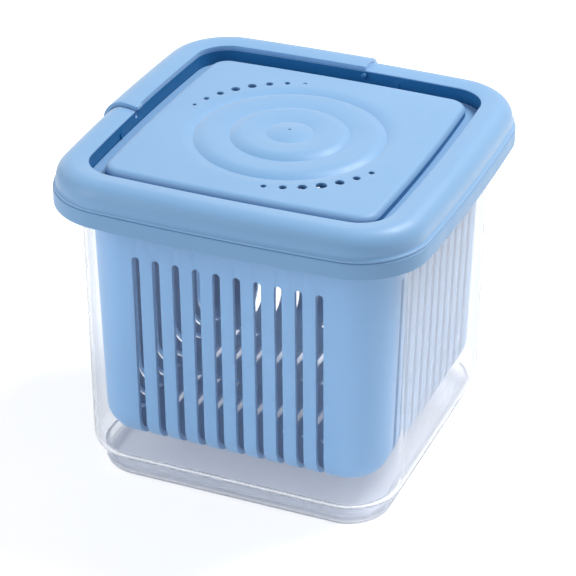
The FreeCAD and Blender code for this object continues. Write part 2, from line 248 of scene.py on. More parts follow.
def smoothed(piece, sharpDegrees=30.0):
    mesh = piece.data
    mesh.polygons.foreach_set("use_smooth", np.ones(len(mesh.polygons), bool))
    mesh.set_sharp_from_angle(angle=math.radians(sharpDegrees))


def finished(piece):
    # the modifiers' result becomes the mesh
    graph = bpy.context.evaluated_depsgraph_get()
    mesh = bpy.data.meshes.new_from_object(piece.evaluated_get(graph))
    piece.modifiers.clear()
    piece.data = mesh
    smoothed(piece)


def paintGrooveShade(piece, isWall):
    # an attribute that is 1 where painted shade darkens the surface, on the walls between ring and panel and
    # in other hollows, from each point's place and normal
    mesh = piece.data
    count = len(mesh.vertices)
    place, normal = np.empty(count * 3), np.empty(count * 3)
    mesh.vertices.foreach_get("co", place)
    mesh.vertices.foreach_get("normal", normal)
    share = isWall(place.reshape(-1, 3) / mm, normal.reshape(-1, 3)).astype(float)
    mesh.attributes.new("grooveWall", "FLOAT", "POINT").data.foreach_set("value", share)


def cutBy(piece, name, parts, operation="DIFFERENCE"):
    # takes the closed forms in parts out of the piece, or adds them to it
    cutter = newPiece(name, parts)
    cut = piece.modifiers.new(name, "BOOLEAN")
    cut.operation = operation
    cut.solver = "EXACT"
    cut.object = cutter
    finished(piece)
    bpy.data.objects.remove(cutter)


def softenEdges(piece, width, segments=2, angle=40.0):
    # small rounds on the edges that a mould leaves
    soft = piece.modifiers.new("edges", "BEVEL")
    soft.width = width * mm
    soft.segments = segments
    soft.limit_method = "ANGLE"
    soft.angle_limit = math.radians(angle)
    soft.use_clamp_overlap = True
    finished(piece)


# Shader groups: they put out only values that change over the surface.
def newGroup(name, inputs, outputs):
    group = bpy.data.node_groups.new(name, "ShaderNodeTree")
    for socketName, kind, value in inputs:
        socket = group.interface.new_socket(socketName, in_out="INPUT", socket_type=kind)
        if value is not None:
            socket.default_value = value
    for socketName, kind in outputs:
        group.interface.new_socket(socketName, in_out="OUTPUT", socket_type=kind)
    return group, group.nodes.new("NodeGroupInput"), group.nodes.new("NodeGroupOutput")


def addNode(tree, kind, links=None, **values):
    # a node with its settings, and its sockets set by value or linked from another socket
    node = tree.nodes.new(kind)
    for key, value in values.items():
        setattr(node, key, value)
    for key, value in (links or {}).items():
        if isinstance(value, bpy.types.NodeSocket):
            tree.links.new(value, node.inputs[key])
        else:
            node.inputs[key].default_value = value
    return node


def buildMouldGrain():
    # fine spark-eroded grain and the slight orange peel below it, as one height from 0 to 1
    group, source, sink = newGroup(
        "mouldGrain",
        [("Vector", "NodeSocketVector", None), ("Grain Size", "NodeSocketFloat", 900.0),
         ("Peel Size", "NodeSocketFloat", 90.0), ("Peel Share", "NodeSocketFloat", 0.4)],
        [("Height", "NodeSocketFloat"), ("Mask", "NodeSocketFloat")])
    vector = source.outputs["Vector"]
    grain = addNode(group, "ShaderNodeTexNoise", {"Vector": vector, "Scale": source.outputs["Grain Size"],
                                                  "Detail": 2.0, "Roughness": 0.6})
    peel = addNode(group, "ShaderNodeTexNoise", {"Vector": vector, "Scale": source.outputs["Peel Size"],
                                                 "Detail": 1.0, "Roughness": 0.4})
    both = addNode(group, "ShaderNodeMix", {0: source.outputs["Peel Share"], 2: grain.outputs[0],
                                            3: peel.outputs[0]})
    group.links.new(both.outputs[0], sink.inputs["Height"])
    group.links.new(peel.outputs[0], sink.inputs["Mask"])
    return group


def buildFlowTone():
    # slow changes of colour where the plastic flowed, stretched upright, as a share from 0 to 1
    group, source, sink = newGroup(
        "flowTone",
        [("Vector", "NodeSocketVector", None), ("Patch Size", "NodeSocketFloat", 9.0),
         ("Streak", "NodeSocketFloat", 0.35)],
        [("Tone", "NodeSocketFloat")])
    stretch = addNode(group, "ShaderNodeCombineXYZ", {0: 1.0, 1: 1.0, 2: source.outputs["Streak"]})
    placed = addNode(group, "ShaderNodeVectorMath", {0: source.outputs["Vector"], 1: stretch.outputs[0]},
                     operation="MULTIPLY")
    patch = addNode(group, "ShaderNodeTexNoise", {"Vector": placed.outputs[0],
                                                  "Scale": source.outputs["Patch Size"],
                                                  "Detail": 3.0, "Roughness": 0.5})
    spread = addNode(group, "ShaderNodeMapRange", {"Value": patch.outputs[0], "From Min": 0.3,
                                                   "From Max": 0.7})
    group.links.new(spread.outputs[0], sink.inputs["Tone"])
    return group


def buildRubMarks():
    # hair-fine marks from wiping and stacking, a mask from 0 to 1
    group, source, sink = newGroup(
        "rubMarks",
        [("Vector", "NodeSocketVector", None), ("Mark Size", "NodeSocketFloat", 60.0),
         ("Amount", "NodeSocketFloat", 0.5)],
        [("Mask", "NodeSocketFloat")])
    bent = addNode(group, "ShaderNodeMapping", {"Vector": source.outputs["Vector"],
                                                "Rotation": (0.5, 0.3, 0.7), "Scale": (1.0, 14.0, 3.0)})
    hair = addNode(group, "ShaderNodeTexNoise", {"Vector": bent.outputs[0],
                                                 "Scale": source.outputs["Mark Size"],
                                                 "Detail": 4.0, "Roughness": 0.65})
    edge = addNode(group, "ShaderNodeMapRange", {"Value": hair.outputs[0], "From Min": 0.58,
                                                 "From Max": 0.75})
    scaled = addNode(group, "ShaderNodeMath", {0: edge.outputs[0], 1: source.outputs["Amount"]},
                     operation="MULTIPLY")
    group.links.new(scaled.outputs[0], sink.inputs["Mask"])
    return group


mouldGrain = buildMouldGrain()
flowTone = buildFlowTone()
rubMarks = buildRubMarks()


def addGroup(tree, group, links):
    return addNode(tree, "ShaderNodeGroup", links, node_tree=group)


def mouldedPlastic(name, look):
    # what all the plastics share: flow in the colour, rub marks in the roughness and grain in the height
    material = bpy.data.materials.new(name)
    material.use_nodes = True
    tree = material.node_tree
    surface = tree.nodes["Principled BSDF"]
    place = addNode(tree, "ShaderNodeTexCoord").outputs["Object"]
    tone = addGroup(tree, flowTone, {"Vector": place, "Patch Size": look["patchSize"],
                                     "Streak": look["streak"]})
    colour = addNode(tree, "ShaderNodeMix", {0: tone.outputs["Tone"], 6: (*look["deep"], 1.0),
                                             7: (*look["light"], 1.0)}, data_type="RGBA")
    grain = addGroup(tree, mouldGrain, {"Vector": place, "Grain Size": look["grainSize"],
                                        "Peel Share": look["peelShare"]})
    marks = addGroup(tree, rubMarks, {"Vector": place, "Amount": look["marks"]})
    smooth, rough = look["roughness"]
    polish = addNode(tree, "ShaderNodeMapRange", {"Value": grain.outputs["Mask"], "From Min": 0.3,
                                                  "From Max": 0.7, "To Min": smooth, "To Max": rough})
    rubbed = addNode(tree, "ShaderNodeMath", {0: polish.outputs[0], 1: marks.outputs["Mask"]},
                     operation="ADD")
    bump = addNode(tree, "ShaderNodeBump", {"Height": grain.outputs["Height"],
                                            "Distance": look["grainDepth"] * mm,
                                            "Strength": look["bumpStrength"]})
    tree.links.new(colour.outputs[2], surface.inputs["Base Color"])
    tree.links.new(rubbed.outputs[0], surface.inputs["Roughness"])
    tree.links.new(bump.outputs[0], surface.inputs["Normal"])
    surface.inputs["IOR"].default_value = look["ior"]
    return material, tree, surface


def satinBlue(name, look):
    # Opaque satin plastic with a pale bloom at a low angle. The walls of the narrow gap between ring and
    # panel get painted shade, a deep blue, and no bloom.
    material, tree, surface = mouldedPlastic(name, look)
    flow = surface.inputs["Base Color"].links[0].from_socket
    groove = addNode(tree, "ShaderNodeAttribute", attribute_name="grooveWall").outputs["Fac"]
    # painted shade: the deep blue takes the place of the flowing colour where the attribute is 1
    shaded = addNode(tree, "ShaderNodeMix", {0: groove, 6: flow, 7: (*look["groove"], 1.0)}, data_type="RGBA")
    bloom = addNode(tree, "ShaderNodeMapRange", {"Value": groove, "To Min": look["sheen"], "To Max": 0.0})
    tree.links.new(shaded.outputs[2], surface.inputs["Base Color"])
    tree.links.new(bloom.outputs[0], surface.inputs["Sheen Weight"])
    surface.inputs["Sheen Roughness"].default_value = look["sheenSpread"]
    return material


def clearPlastic(name, look):
    # Clear plastic that lets light through to the basket, turns milky at a low angle and is frosted low down.
    material, tree, surface = mouldedPlastic(name, look)
    surface.inputs["Specular IOR Level"].default_value = look["shine"]
    surface.inputs["Transmission Weight"].default_value = look["transmission"]
    milk = addNode(tree, "ShaderNodeBsdfDiffuse", {"Color": (*look["milk"], 1.0)})
    glow = addNode(tree, "ShaderNodeBsdfTranslucent", {"Color": (*look["milk"], 1.0)})
    haze = addNode(tree, "ShaderNodeMixShader", {0: look["glowShare"], 1: milk.outputs[0],
                                                 2: glow.outputs[0]})
    facing = addNode(tree, "ShaderNodeLayerWeight", {"Blend": 0.5}).outputs["Facing"]
    slope = addNode(tree, "ShaderNodeMath", {0: facing, 1: look["hazePower"]}, operation="POWER")
    amount = addNode(tree, "ShaderNodeMath", {0: slope.outputs[0], 1: look["haze"]}, operation="MULTIPLY")
    place = addNode(tree, "ShaderNodeTexCoord").outputs["Object"]
    height = addNode(tree, "ShaderNodeSeparateXYZ", {0: place}).outputs["Z"]
    low = addNode(tree, "ShaderNodeMapRange", {"Value": height, "From Min": look["frostTop"] * mm,
                                               "From Max": look["frostLow"] * mm, "To Max": look["frost"]})
    total = addNode(tree, "ShaderNodeMath", {0: amount.outputs[0], 1: low.outputs[0]}, operation="ADD")
    hazed = addNode(tree, "ShaderNodeMixShader", {0: total.outputs[0], 1: surface.outputs[0],
                                                  2: haze.outputs[0]})
    clear = addNode(tree, "ShaderNodeBsdfTransparent")
    shadow = addNode(tree, "ShaderNodeLightPath").outputs["Is Shadow Ray"]
    shade = addNode(tree, "ShaderNodeMath", {0: shadow, 1: look["lightThrough"]}, operation="MULTIPLY")
    mixed = addNode(tree, "ShaderNodeMixShader", {0: shade.outputs[0], 1: hazed.outputs[0],
                                                  2: clear.outputs[0]})
    tree.links.new(mixed.outputs[0], tree.nodes["Material Output"].inputs["Surface"])
    return material


blueLook = {
    "deep": (0.208, 0.424, 0.715),
    "light": (0.232, 0.452, 0.748),
    # painted shade, a deep blue for the walls between ring and panel, the vents' walls and the gate mark
    "groove": (0.006, 0.130, 0.330),
    "patchSize": 9.0,
    "streak": 0.35,
    "grainSize": 1400.0,
    "grainDepth": 0.03,
    "peelShare": 0.35,
    "bumpStrength": 0.5,
    "roughness": (0.4, 0.5),
    "marks": 0.06,
    "ior": 1.49,
    "sheen": 0.38,  # satin bloom, strongest at a low angle
    "sheenSpread": 0.5,
}
clearLook = {
    "deep": (0.9, 0.915, 0.94),
    "light": (0.965, 0.975, 0.99),
    "patchSize": 7.0,
    "streak": 0.4,
    "grainSize": 300.0,
    "grainDepth": 0.01,
    "peelShare": 0.8,
    "bumpStrength": 0.1,
    "roughness": (0.02, 0.05),
    "marks": 0.05,
    "ior": 1.25,
    "shine": 0.1,
    "transmission": 1.0,
    "milk": (0.78, 0.80, 0.86),
    "glowShare": 0.35,  # of the milk, what lets light through
    "haze": 0.75,
    "hazePower": 3.0,
    "frost": 0.75,  # the foot and the floor are duller than the walls
    "frostLow": 2.3,
    "frostTop": 9.0,
    "lightThrough": 0.78,
}
lidBlue = satinBlue("lidBlue", blueLook)
# the basket's blue is a little darker than the lid's: painted shade for its place inside the tub under the
# lid
basketBlue = satinBlue("basketBlue", {**blueLook, "deep": (0.196, 0.399, 0.672),
                                      "light": (0.218, 0.425, 0.703), "grainDepth": 0.02,
                                      "roughness": (0.42, 0.52), "sheen": 0.12})
handleBlue = satinBlue("handleBlue", {**blueLook, "patchSize": 14.0, "roughness": (0.38, 0.47)})
tubClear = clearPlastic("tubClear", clearLook)
print("materials made")

# Clear tub
tubSize = {
    "wallInset": 13.0,  # the tub's wall below its rim, from the lid's outline
    "draft": 1.2,
    "wall": 1.9,
    "floor": 2.2,
    "shoulderStep": 5.4,
    "shoulderRound": 6.5,
    "footHeight": 12.5,
    "footDraft": 0.5,
    "footRound": 5.0,
    "creaseRise": 0.76,  # the inner skin's crease lies this much higher
    "rimReach": 9.8,
    "rimThickness": 2.0,
    "arcSteps": 10,
    "edge": 0.35,
}


def tubSkin(shift, floor, size):
    # the outer or inner skin from its floor up to the foot of the rim
    top = size["wallInset"] + shift
    low = top + size["draft"]
    crease = low + size["shoulderStep"]
    foot = crease + size["footDraft"]
    creaseHeight = size["footHeight"] + (size["creaseRise"] if shift else 0.0)
    footRound = size["footRound"] - shift / 2.0
    footArc = quarterArc((foot, floor + footRound), (foot + footRound, floor), size["arcSteps"])[::-1]
    shoulder = quarterArc((low, size["footHeight"] + size["shoulderRound"]), (crease, creaseHeight),
                          size["arcSteps"])[::-1]
    return np.concatenate([footArc, shoulder]), top


def makeTub(size):
    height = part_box("tub")[1].z / mm
    outside, top = tubSkin(0.0, 0.0, size)
    inside, innerTop = tubSkin(size["wall"], size["floor"], size)
    rimLow = height - size["rimThickness"]
    rimOut = top - size["rimReach"]
    rim = np.array([(top, rimLow), (rimOut, rimLow), (rimOut, height), (innerTop, height)])
    path = withSupport(np.concatenate([outside, rim, inside[::-1]]))
    piece = newPiece("clearTub", [closedSkin(path, np.zeros(len(path)))])
    softenEdges(piece, size["edge"], segments=3)
    return piece


tub = makeTub(tubSize)
tub.data.materials.append(tubClear)
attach(tub, "vessel")
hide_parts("tub")
print("tub made:", len(tub.data.polygons), "faces")

# Slotted basket with the band that covers the tub's rim
basketSize = {
    "wallInset": 18.5,
    "draft": 3.1,
    "wall": 2.6,
    "floor": 2.6,
    "bottomRound": 15.0,
    "bandProud": 0.5,  # the band stands out past the lid's outline
    "bandWall": 2.4,
    "bandHeight": 8.7,
    "bandRound": 0.7,
    "bandSteps": 4,
    "arcSteps": 12,
    "edge": 0.25,
}
slotSize = {
    "count": 10,
    "pitch": 10.96,
    "width": 4.1,
    "top": 135.0,
    "reachIn": 14.0,  # how far a slot runs in under the bottom edge
    "innerLand": 16.4,  # between those ends and the drain slots
    "middleGap": 12.0,
    "past": 4.0,  # the cutters' outlines run this far past the basket
    "clear": 3.0,  # and their ends this far past its skins
    "drainClear": 1.0,
    "capSteps": 10,
}


def stadium(near, far, radius, steps):
    # outline of a slot from near to far along its second axis, with half circles at both ends
    angle = np.arange(steps + 1) * math.pi / steps
    high = np.stack([radius * np.cos(angle), far - radius + radius * np.sin(angle)], 1)
    low = np.stack([-radius * np.cos(angle), near + radius - radius * np.sin(angle)], 1)
    return np.concatenate([high, low])


def levelLoop(shape, x, side, height):
    # a slot's outline laid level, pointing to the back or, with side -1, to the front
    return np.stack([shape[:, 0] + x, side * shape[:, 1], np.full(len(shape), height)], 1)


def basketCutters(basket, slot):
    # upright slots through the walls, and the level ones under the bottom edge and in the floor
    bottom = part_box("basket")[0].z / mm
    half = plan["lidHalf"] - basket["wallInset"]
    halfLow = half - basket["draft"]
    radius = slot["width"] / 2.0
    turnIn = bottom + basket["bottomRound"]
    innerEnd = halfLow - slot["reachIn"] + radius
    past, clear, steps = slot["past"], slot["clear"], slot["capSteps"]
    wallShape = stadium(bottom - past, slot["top"], radius, steps)
    underShape = stadium(-half - past, -innerEnd + 2.0 * radius, radius, steps)
    drainEnd = halfLow - slot["reachIn"] - slot["innerLand"] - radius
    drainShape = stadium(slot["middleGap"] / 2.0, drainEnd, radius, steps)
    depth = half - (halfLow - basket["wall"]) + 2.0 * clear
    wallParts, underParts = [], []
    for x in (np.arange(slot["count"]) - (slot["count"] - 1) / 2.0) * slot["pitch"]:
        wallLoop = np.stack([wallShape[:, 0] + x, np.full(len(wallShape), -half - clear), wallShape[:, 1]], 1)
        wallPoints, wallFaces = prism(wallLoop, (0.0, depth, 0.0))
        underLoop = levelLoop(underShape, x, 1.0, bottom - clear)
        underPoints, underFaces = prism(underLoop, (0.0, 0.0, turnIn + past + clear - bottom))
        for quarters in range(4):
            wallParts.append((turned(wallPoints, quarters), wallFaces))
            underParts.append((turned(underPoints, quarters), underFaces))
        for side in (-1.0, 1.0):
            drainLoop = levelLoop(drainShape, x, side, bottom - slot["drainClear"])
            underParts.append(prism(drainLoop, (0.0, 0.0, basket["floor"] + 2.0 * slot["drainClear"])))
    return wallParts, underParts


def makeBasket(basket, slot):
    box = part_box("basket")
    bottom, top = box[0].z / mm, box[1].z / mm
    outTop = basket["wallInset"]
    outLow = outTop + basket["draft"]
    turn = basket["bottomRound"]
    seat = top - basket["bandWall"]
    outsideRound = quarterArc((outLow, bottom + turn), (outLow + turn, bottom), basket["arcSteps"])[::-1]
    insideRound = quarterArc((outLow + basket["wall"], bottom + turn),
                             (outLow + turn, bottom + basket["floor"]), basket["arcSteps"])
    bandOut = -basket["bandProud"]
    bandIn = bandOut + basket["bandWall"]
    bandLow = top - basket["bandHeight"]
    lip = basket["bandRound"]
    band = np.concatenate([
        [(outTop, seat), (bandIn, seat), (bandIn, bandLow)],
        quarterArc((bandOut, bandLow + lip), (bandOut + lip, bandLow), basket["bandSteps"])[::-1],
        quarterArc((bandOut, top - lip), (bandOut + lip, top), basket["bandSteps"]),
        [(outTop + basket["wall"], top)]])
    path = withSupport(np.concatenate([outsideRound, band, insideRound]))
    bow = np.clip((outTop - path[:, 0]) / (outTop - bandIn), 0.0, 1.0)
    piece = newPiece("drainBasket", [closedSkin(path, bow)])
    wallParts, underParts = basketCutters(basket, slot)
    cutBy(piece, "wallSlots", wallParts)
    cutBy(piece, "underSlots", underParts)
    softenEdges(piece, basket["edge"], angle=50.0)
    return piece


basket = makeBasket(basketSize, slotSize)
basket.data.materials.append(basketBlue)
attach(basket, "vessel")
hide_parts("basket")
print("basket made:", len(basket.data.polygons), "faces")

# Lid ring
ringSize = {
    "width": 18.0,
    "innerDrop": 1.2,
    "crest": 10.0,
    "fallShare": 0.3,
    "lipHeight": 1.0,
    "lipRound": 2.0,
    "lipDepth": 1.2,
    "wall": 2.0,
    "ledge": 2.2,
    "plugInset": 21.7,
    "plugDepth": 8.0,
    "plugWall": 2.0,
    "flareMiddle": (0.75, 0.4),
    "flareSteps": 5,
    "crownSteps": 24,
    # how far the painted shade reaches on the ring's inner walls
    "grooveOut": 0.2,
    "grooveBelow": 0.5,
    "grooveSlope": 0.7,  # a wall gets the painted shade where its normal has less than this upwards
    "edge": 0.35,
}
nibSize = {"offset": 28.0, "width": 2.4, "reach": 1.2, "height": 4.2, "nose": 0.6, "topReach": 0.2,
           "sink": 1.0}
hingeSize = {
    "end": 10.0,  # the handle's ends lie this far past the middle of their sides
    "drop": 2.7,
    "ballRadius": 1.7,
    "ballGap": 0.05,
    "earThickness": 1.0,
    "earWidth": 5.0,
    "earSetback": 0.2,
    "armThickness": 1.7,
    "armSink": 1.0,
}
restGap = 0.3
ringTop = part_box("lid_ring")[1].z / mm
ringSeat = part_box("basket")[1].z / mm + restGap
innerTop = ringTop - ringSize["innerDrop"]
innerHalf = plan["lidHalf"] - ringSize["width"]


def crown(start, crest, inner, share, steps):
    # the round from the side up to the crest, then the gentle fall to the inner edge
    fall = ((crest[0] + inner[0]) / 2.0, crest[1] - (crest[1] - inner[1]) * share)
    return np.concatenate([quarterArc(start, crest, steps), arcThrough(crest, fall, inner, steps // 2)[1:]])


def bothEnds(points, faces):
    # a part at the left end of the handle, and the same at its back end
    return [(points, faces), (atBack(points), faces)]


def hingeBalls(hinge, gap=0.0):
    # balls at both ends of the slanting hinge line, each half way through an ear of the handle
    step = restGap + hinge["earThickness"] / 2.0
    centre = (step - innerHalf, step - hinge["end"], innerTop - hinge["drop"])
    return bothEnds(*ball(centre, hinge["ballRadius"] + gap))


def nibParts(nib):
    # four small wedges on the ring's inner wall, over the panel's flange
    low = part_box("lid_panel")[0].z / mm + ringSize["ledge"] + restGap
    root, tip = -innerHalf - nib["sink"], -innerHalf + nib["reach"]
    side = [(root, low), (tip, low + nib["nose"]), (tip, low + nib["reach"]),
            (nib["topReach"] - innerHalf, low + nib["height"]), (root, low + nib["height"])]
    loop = np.array([(x, -nib["offset"] - nib["width"] / 2.0, z) for x, z in side])
    points, faces = prism(loop, (0.0, nib["width"], 0.0))
    return [(turned(p, quarters), faces) for p in (points, atBack(points)) for quarters in (0, 2)]


def inGroove(at):
    # the points inside the ring's inner wall and below its upper edge
    out, below = ringSize["grooveOut"], ringSize["grooveBelow"]
    return (np.abs(at[:, :2]).max(1) < innerHalf + out) & (at[:, 2] < innerTop - below)


def makeRing(size, hinge):
    lip = ringSeat + size["lipHeight"]
    start = (size["lipDepth"], lip + size["lipRound"])
    inShare, upShare = size["flareMiddle"]
    middle = (size["lipDepth"] * inShare, lip + size["lipRound"] * upShare)
    flare = arcThrough((0.0, lip), middle, start, size["flareSteps"])
    steps = size["crownSteps"]
    over = crown(start, (size["crest"], ringTop), (size["width"], innerTop), size["fallShare"], steps)
    ledgeTop = ringSeat + size["ledge"]
    plugIn = size["plugInset"] + size["plugWall"]
    plugLow = ringSeat - size["plugDepth"]
    inside = [(size["width"], ledgeTop), (plugIn, ledgeTop), (plugIn, plugLow), (size["plugInset"], plugLow),
              (size["plugInset"], ringSeat), (size["width"] - size["wall"], ringSeat)]
    hollow = crown((start[0] + size["wall"], start[1]), (size["crest"], ringTop - size["wall"]),
                   (size["width"] - size["wall"], innerTop - size["wall"]), size["fallShare"],
                   steps // 2)[::-1]
    path = np.concatenate([[(0.0, ringSeat)], flare, over[1:], inside, hollow,
                           [(start[0] + size["wall"], ringSeat), (0.0, ringSeat)]])
    path = withSupport(path)[:-1]
    bow = np.clip((size["plugInset"] - path[:, 0]) / (size["plugInset"] - size["width"]), 0.0, 1.0)
    piece = newPiece("lidRing", [grid(carried(path, wholeWay(), bow), loopRows=True)])
    cutBy(piece, "sockets", hingeBalls(hinge, hinge["ballGap"]))
    cutBy(piece, "nibs", nibParts(nibSize), "UNION")
    softenEdges(piece, size["edge"], segments=3, angle=42.0)
    # painted shade on the ring's upright walls inside its inner edge
    paintGrooveShade(piece, lambda at, facing: inGroove(at) & (np.abs(facing[:, 2]) < size["grooveSlope"]))
    return piece


ring = makeRing(ringSize, hingeSize)
ring.data.materials.append(lidBlue)
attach(ring, "lid")
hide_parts("lid_ring")
print("ring made:", len(ring.data.polygons), "faces")

# Lid panel
panelSize = {
    "grooveWidth": 8.0,
    "thickness": 2.2,
    "edgeRound": 3.8,
    "rippleLand": 18.0,  # from the panel's edge to the ripples
    "rippleLead": 6.6,
    "leadShare": 0.32,
    "ripplePitch": 18.65,
    "rippleCount": 3,
    "rippleDepth": 1.7,
    "rippleStep": 1.0,  # each crease lies this much higher than the one outside it
    "rippleRise": 2.3,
    "crownShare": 0.36,
    "domeRise": 1.8,
    "markRadius": 0.75,
    "markDepth": 0.7,
    "markTaper": 0.8,
    "markShare": 0.9,  # how much of its radius gets the painted shade
    "rise": 6.1,
    "rimBand": 6.0,  # inside this lie the vents, outside it the panel's own wall
    "wallShare": 0.8,  # how much of the edge's round stays free of the painted shade
    "wallSlope": 0.8,
    "skinDepth": 0.1,
    "bridgeSteps": 5,
    "arcSteps": 12,
    "sharp": 25.0,
    "edge": 0.18,
}
ventSize = {
    "land": 4.0,
    "pitch": 9.53,
    "taper": 0.87,
    "rows": ((7, -52.5, 5.8, 0), (8, 136.5, 5.35, 1)),  # holes, middle angle, widest, blind ones at the end
    "blindDepth": 0.5,
    "past": 1.0,
    "sides": 40,
}
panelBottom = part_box("lid_panel")[0].z / mm
panelTop = panelBottom + panelSize["thickness"] + panelSize["rise"]
panelHalf = innerHalf - panelSize["grooveWidth"]
rippleEdge = panelHalf - panelSize["rippleLand"]


def rippleProfile(top, size):
    # Radius and height from the ripples' rim to the middle: an arc down to the first crease, then for each
    # ripple a short arc up to its crown and a longer one down, all tangent at the crown, and a low dome.
    steps = size["arcSteps"]
    count = np.arange(size["rippleCount"])
    creases = rippleEdge - size["rippleLead"] - size["ripplePitch"] * count
    floors = top - size["rippleDepth"] + size["rippleStep"] * count
    leadIn = ((rippleEdge + creases[0]) / 2.0, top - size["rippleDepth"] * size["leadShare"])
    parts = [arcThrough((rippleEdge, top), leadIn, (creases[0], floors[0]), steps)]
    for k in count[:-1]:
        crownAt = creases[k] - size["ripplePitch"] * size["crownShare"]
        peak = floors[k] + size["rippleRise"]
        up = halfArch(creases[k], floors[k], crownAt, peak, steps)
        down = halfArch(creases[k + 1], floors[k + 1], crownAt, peak, steps)
        parts += [up[1:], down[-2::-1]]
    last, low = creases[-1], floors[-1]
    parts.append(halfArch(last, low, size["markRadius"], low + size["domeRise"], steps)[1:])
    return np.concatenate(parts)


def halfArch(footAt, foot, crownAt, peak, steps):
    # from a crease up to a crown: height = peak - radius + sqrt(radius^2 - (distance from the crown)^2)
    run, rise = footAt - crownAt, peak - foot
    radius = (run ** 2 + rise ** 2) / (2.0 * rise)
    x = footAt - run * np.arange(steps + 1) / steps
    return np.stack([x, peak - radius + np.sqrt(radius ** 2 - (x - crownAt) ** 2)], 1)


def makePanel(size, vent):
    top, under = panelTop, panelTop - size["thickness"]
    skin = rippleProfile(top, size)
    markFloor = skin[-1, 1] - size["markDepth"]
    mark = np.array([(size["markRadius"] * size["markTaper"], markFloor), (0.0, markFloor)])
    below = skin - np.array([0.0, size["thickness"]])
    below[-1, 0] = 0.0
    wall = plan["lidHalf"] - panelHalf
    edge, inner = size["edgeRound"], size["edgeRound"] - size["thickness"]
    flangeTop = panelBottom + size["thickness"]
    flangeOut = plan["lidHalf"] - innerHalf + restGap
    innerWall, steps = wall + size["thickness"], size["arcSteps"]
    rimTop = quarterArc((wall, top - edge), (wall + edge, top), steps)[::-1]
    flange = [(wall, flangeTop), (flangeOut, flangeTop), (flangeOut, panelBottom), (innerWall, panelBottom)]
    rimUnder = quarterArc((innerWall, under - inner), (wall + edge, under), steps // 2)
    path = withSupport(np.concatenate([rimTop, flange, rimUnder]), reach=0.5)
    around = wholeWay()
    outside = carried(path, around)
    topRows = discRows(np.concatenate([skin, mark])[::-1], around)
    underRows = discRows(below, around)
    rows = np.concatenate([topRows, bridge(topRows[-1], outside[0], size["bridgeSteps"]), outside,
                           bridge(outside[-1], underRows[0], size["bridgeSteps"]), underRows])
    piece = newPiece("lidPanel", [grid(rows)])
    cutBy(piece, "vents", ventParts(vent))
    softenEdges(piece, size["edge"], angle=48.0)
    smoothed(piece, size["sharp"])
    paintGrooveShade(piece, lambda at, facing: paintedShadeOnPanel(at, facing, size))
    return piece


def paintedShadeOnPanel(at, facing, size):
    # where painted shade goes: the upright wall over the flange, the walls of the vents, and the gate mark in
    # the middle
    out, side, height = np.linalg.norm(at[:, :2], axis=1), np.abs(at[:, :2]).max(1), at[:, 2]
    upright = np.abs(facing[:, 2]) < size["wallSlope"]
    overFlange = height > panelBottom + size["thickness"] - size["skinDepth"]
    outside = side > panelHalf - size["rimBand"]
    wall = outside & (height < panelTop - size["edgeRound"] * size["wallShare"])
    vents = ~outside & (out > rippleEdge) & (height < panelTop - size["skinDepth"])
    mark = out < size["markRadius"] * size["markShare"]
    return upright & overFlange & (wall | vents) | mark


def ventParts(vent):
    # holes along two arcs outside the ripples, widest in the middle of each row
    radius, top = rippleEdge + vent["land"], panelTop + vent["past"]
    parts = []
    for count, middle, widest, blind in vent["rows"]:
        for k in range(count):
            away = k - (count - 1) / 2.0
            angle = math.radians(middle) - away * vent["pitch"] / radius
            deep = vent["blindDepth"] if k >= count - blind else panelSize["thickness"] + vent["past"]
            low = panelTop - deep
            start = (radius * math.cos(angle), radius * math.sin(angle), low)
            size = (widest - vent["taper"] * abs(away)) / 2.0
            parts.append(rod(start, top - low, size, vent["sides"]))
    return parts


panel = makePanel(panelSize, ventSize)
panel.data.materials.append(lidBlue)
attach(panel, "lid")
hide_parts("lid_panel")
print("panel made:", len(panel.data.polygons), "faces")

# Corner handle
handleSize = {"top": 2.0, "side": 1.79, "tuck": 0.02, "sideSteps": 13, "cornerSteps": 30, "edge": 0.4}


def handleSection(size, ring):
    # the ring's crown, grown by the gap and again by the handle's thickness, closed at both ends
    grow, outer = restGap, restGap + size["top"]
    share, steps = ring["fallShare"], ring["crownSteps"]
    start = (ring["lipDepth"] - grow, ringSeat + ring["lipHeight"] + ring["lipRound"])
    under = crown(start, (ring["crest"], ringTop + grow), (ring["width"], innerTop + grow), share, steps)
    over = crown((start[0] - size["side"], start[1]), (ring["crest"], ringTop + outer),
                 (ring["width"], innerTop + outer), share, steps)
    return np.concatenate([under, over[::-1]])


def handlePlaces(size, hinge):
    # from the back side, round the back left corner, to the left side
    lean = bowKnee(plan["lidCorner"], plan["bowRadius"])[1]
    share = (math.asin(hinge["end"] / plan["bowRadius"]) / lean + 1.0) / 4.0
    back = np.linspace(1.5 - share, 1.5, size["sideSteps"], endpoint=False)
    corner = np.linspace(1.5, 2.0, size["cornerSteps"], endpoint=False)
    return np.concatenate([back, corner, np.linspace(2.0, 2.0 + share, size["sideSteps"] + 1)])


def handleEndParts(size, hinge):
    # ear, arm and ball at the left end, and their mirror images at the back end
    axisHeight = innerTop - hinge["drop"]
    top = innerTop + restGap + size["top"]
    near, front = restGap - innerHalf, hinge["earSetback"] - hinge["end"]
    corner = (near + hinge["earThickness"], front + hinge["earWidth"], top - size["tuck"])
    ear = block((near, front, axisHeight), corner)
    arm = block((-innerHalf - hinge["armSink"], front, top - hinge["armThickness"]), corner)
    return hingeBalls(hinge) + bothEnds(*ear) + bothEnds(*arm)


